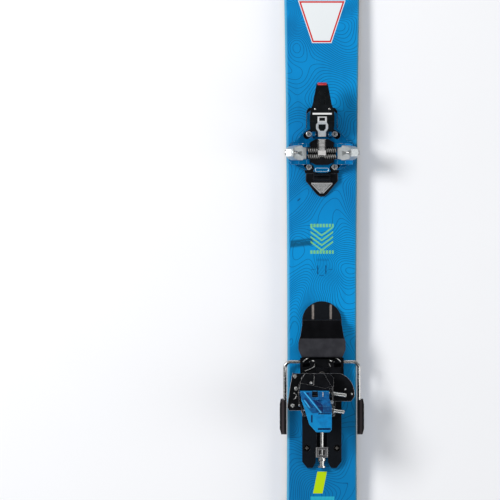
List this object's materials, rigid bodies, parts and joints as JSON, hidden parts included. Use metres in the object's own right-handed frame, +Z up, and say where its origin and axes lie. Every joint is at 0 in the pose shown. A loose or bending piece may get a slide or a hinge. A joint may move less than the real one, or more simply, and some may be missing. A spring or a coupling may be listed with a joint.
{
  "type": "touring ski with pin binding",
  "caption": "Blue touring ski with a pin binding: toe jaws and lever, sliding heel tower that turns, brake and folding climbing aid.",
  "frame": {"origin": "under the middle of the ski's length and width, on the surface it stands on", "axes": "+Y along the ski to the tip, +X to the right, +Z up"},
  "size_m": [0.1288, 1.84, 0.1331],
  "materials": {
    "ptex": "ground sintered base",
    "edge_steel": "ground",
    "damping_rubber": "matt",
    "glass_laminate": "satin glass-fibre laminate",
    "core_wood": "sealed wood strips",
    "sidewall_blue": "satin",
    "topsheet_blue": "satin printed topsheet",
    "black_plastic": "fine moulded grain",
    "steel_screws": "bright",
    "blue_anodised": "satin anodised",
    "forged_aluminium": "satin",
    "hard_steel": "polished",
    "spring_steel": "oiled",
    "polished_metal": "brushed",
    "red_plastic": "satin",
    "dark_blue_metal": "anodised",
    "black_metal": "satin black anodised",
    "grey_plastic": "matt",
    "black_screws": "black oxide",
    "gloss_black": "polished low-friction plastic",
    "blue_plastic": "satin moulded"
  },
  "bodies": {
    "ski": {"base": "ptex", "edge_left": "edge_steel", "edge_right": "edge_steel", "edge_rubber": "damping_rubber", "lower_laminate": "glass_laminate", "damping_layer": "damping_rubber", "core": "core_wood", "sidewall_left": "sidewall_blue", "sidewall_right": "sidewall_blue", "upper_laminate": "sidewall_blue", "topsheet": "topsheet_blue", "toe_base": "black_plastic", "toe_screws": "steel_screws", "toe_pad": "black_plastic", "toe_pad_insert": "polished_metal", "crampon_clip": "black_metal", "heel_track": "black_metal", "track_strips": "grey_plastic", "heel_screws": "black_screws", "adjuster_bracket": "polished_metal"},
    "toe_turntable": {"toe_plate": "blue_anodised", "spring_block": "black_plastic", "toe_springs": "spring_steel", "toe_spring_rods": "hard_steel", "toothed_strip": "polished_metal", "jaw_pivots": "hard_steel", "lever_pivot": "hard_steel"},
    "right_jaw": {"jaw_right": "forged_aluminium", "toe_pin_right": "hard_steel"},
    "left_jaw": {"jaw_left": "forged_aluminium", "toe_pin_left": "hard_steel"},
    "lever": {"toe_lever": "black_plastic", "lever_tip": "red_plastic", "lever_link": "dark_blue_metal", "lever_inlay": "polished_metal"},
    "heel_slider": {"carriage": "black_plastic", "turret_post": "black_metal", "lock_spring": "spring_steel", "lock_plunger": "black_plastic"},
    "adjuster": {"adjuster_screw": "hard_steel"},
    "brake": {"brake_wire": "hard_steel", "brake_paddle_left": "black_plastic", "brake_paddle_right": "black_plastic", "brake_pedal": "black_plastic", "pedal_pad_front": "gloss_black", "pedal_pad_rear": "grey_plastic"},
    "tower": {"turret_foot": "black_plastic", "turret_flange": "black_plastic", "flange_screws": "steel_screws", "turret_housing": "black_plastic", "heel_pins": "hard_steel", "pin_plate": "hard_steel", "turret_spacer": "black_plastic", "cover_plate": "hard_steel", "turret_cover": "black_plastic", "spring_cap": "black_plastic", "aid_pivot": "hard_steel"},
    "side_value": {"side_value_screw": "steel_screws"},
    "forward_value": {"forward_value_screw": "steel_screws"},
    "aid": {"climbing_aid": "blue_plastic"}
  },
  "joints": [
    {"name": "toe_turn", "type": "hinge", "parent": "ski", "child": "toe_turntable", "pos_m": [0, 0.079, 0.0365], "axis": [0, 0, 1], "range_deg": [-5, 5], "stiffness_Nm_per_rad": 1},
    {"name": "lever_raise", "type": "hinge", "parent": "toe_turntable", "child": "lever", "pos_m": [0, 0.106, 0.047], "axis": [1, 0, 0], "range_deg": [0, 25]},
    {"name": "right_jaw_close", "type": "hinge", "parent": "toe_turntable", "child": "right_jaw", "pos_m": [0.027, 0.079, 0.0455], "axis": [0, -1, 0], "range_deg": [0, 14.1]},
    {"name": "left_jaw_close", "type": "hinge", "parent": "toe_turntable", "child": "left_jaw", "pos_m": [-0.027, 0.079, 0.0455], "axis": [0, 1, 0], "range_deg": [0, 14.1]},
    {"name": "carriage_slide", "type": "slide", "parent": "ski", "child": "heel_slider", "axis": [0, 1, 0], "range_m": [-0.01, 0.01]},
    {"name": "adjuster_spin", "type": "hinge", "parent": "ski", "child": "adjuster", "pos_m": [0, -0.34, 0.0345], "axis": [0, 1, 0], "range_deg": [-1810, 1810]},
    {"name": "brake_swing", "type": "hinge", "parent": "heel_slider", "child": "brake", "pos_m": [0, -0.2184, 0.0407], "axis": [1, 0, 0], "range_deg": [0, 50]},
    {"name": "tower_turn", "type": "hinge", "parent": "heel_slider", "child": "tower", "pos_m": [0, -0.263, 0.0745], "axis": [0, 0, 1], "range_deg": [0, 98]},
    {"name": "side_value_turn", "type": "hinge", "parent": "tower", "child": "side_value", "pos_m": [0.0134, -0.2745, 0.1005], "axis": [0, 0, 1], "range_deg": [-360, 360]},
    {"name": "forward_value_turn", "type": "hinge", "parent": "tower", "child": "forward_value", "pos_m": [-0.03, -0.276, 0.0845], "axis": [1, 0, 0], "range_deg": [-360, 360]},
    {"name": "aid_fold", "type": "hinge", "parent": "tower", "child": "aid", "pos_m": [-0.011, -0.262, 0.1055], "axis": [-1, 0, 0], "range_deg": [0, 90]}
  ],
  "couplings": [
    {"joint": "right_jaw_close", "follows": "lever_raise", "ratio": 0.56},
    {"joint": "left_jaw_close", "follows": "lever_raise", "ratio": 0.56},
    {"joint": "adjuster_spin", "follows": "carriage_slide", "rad_per_m": 3141.6}
  ]
}
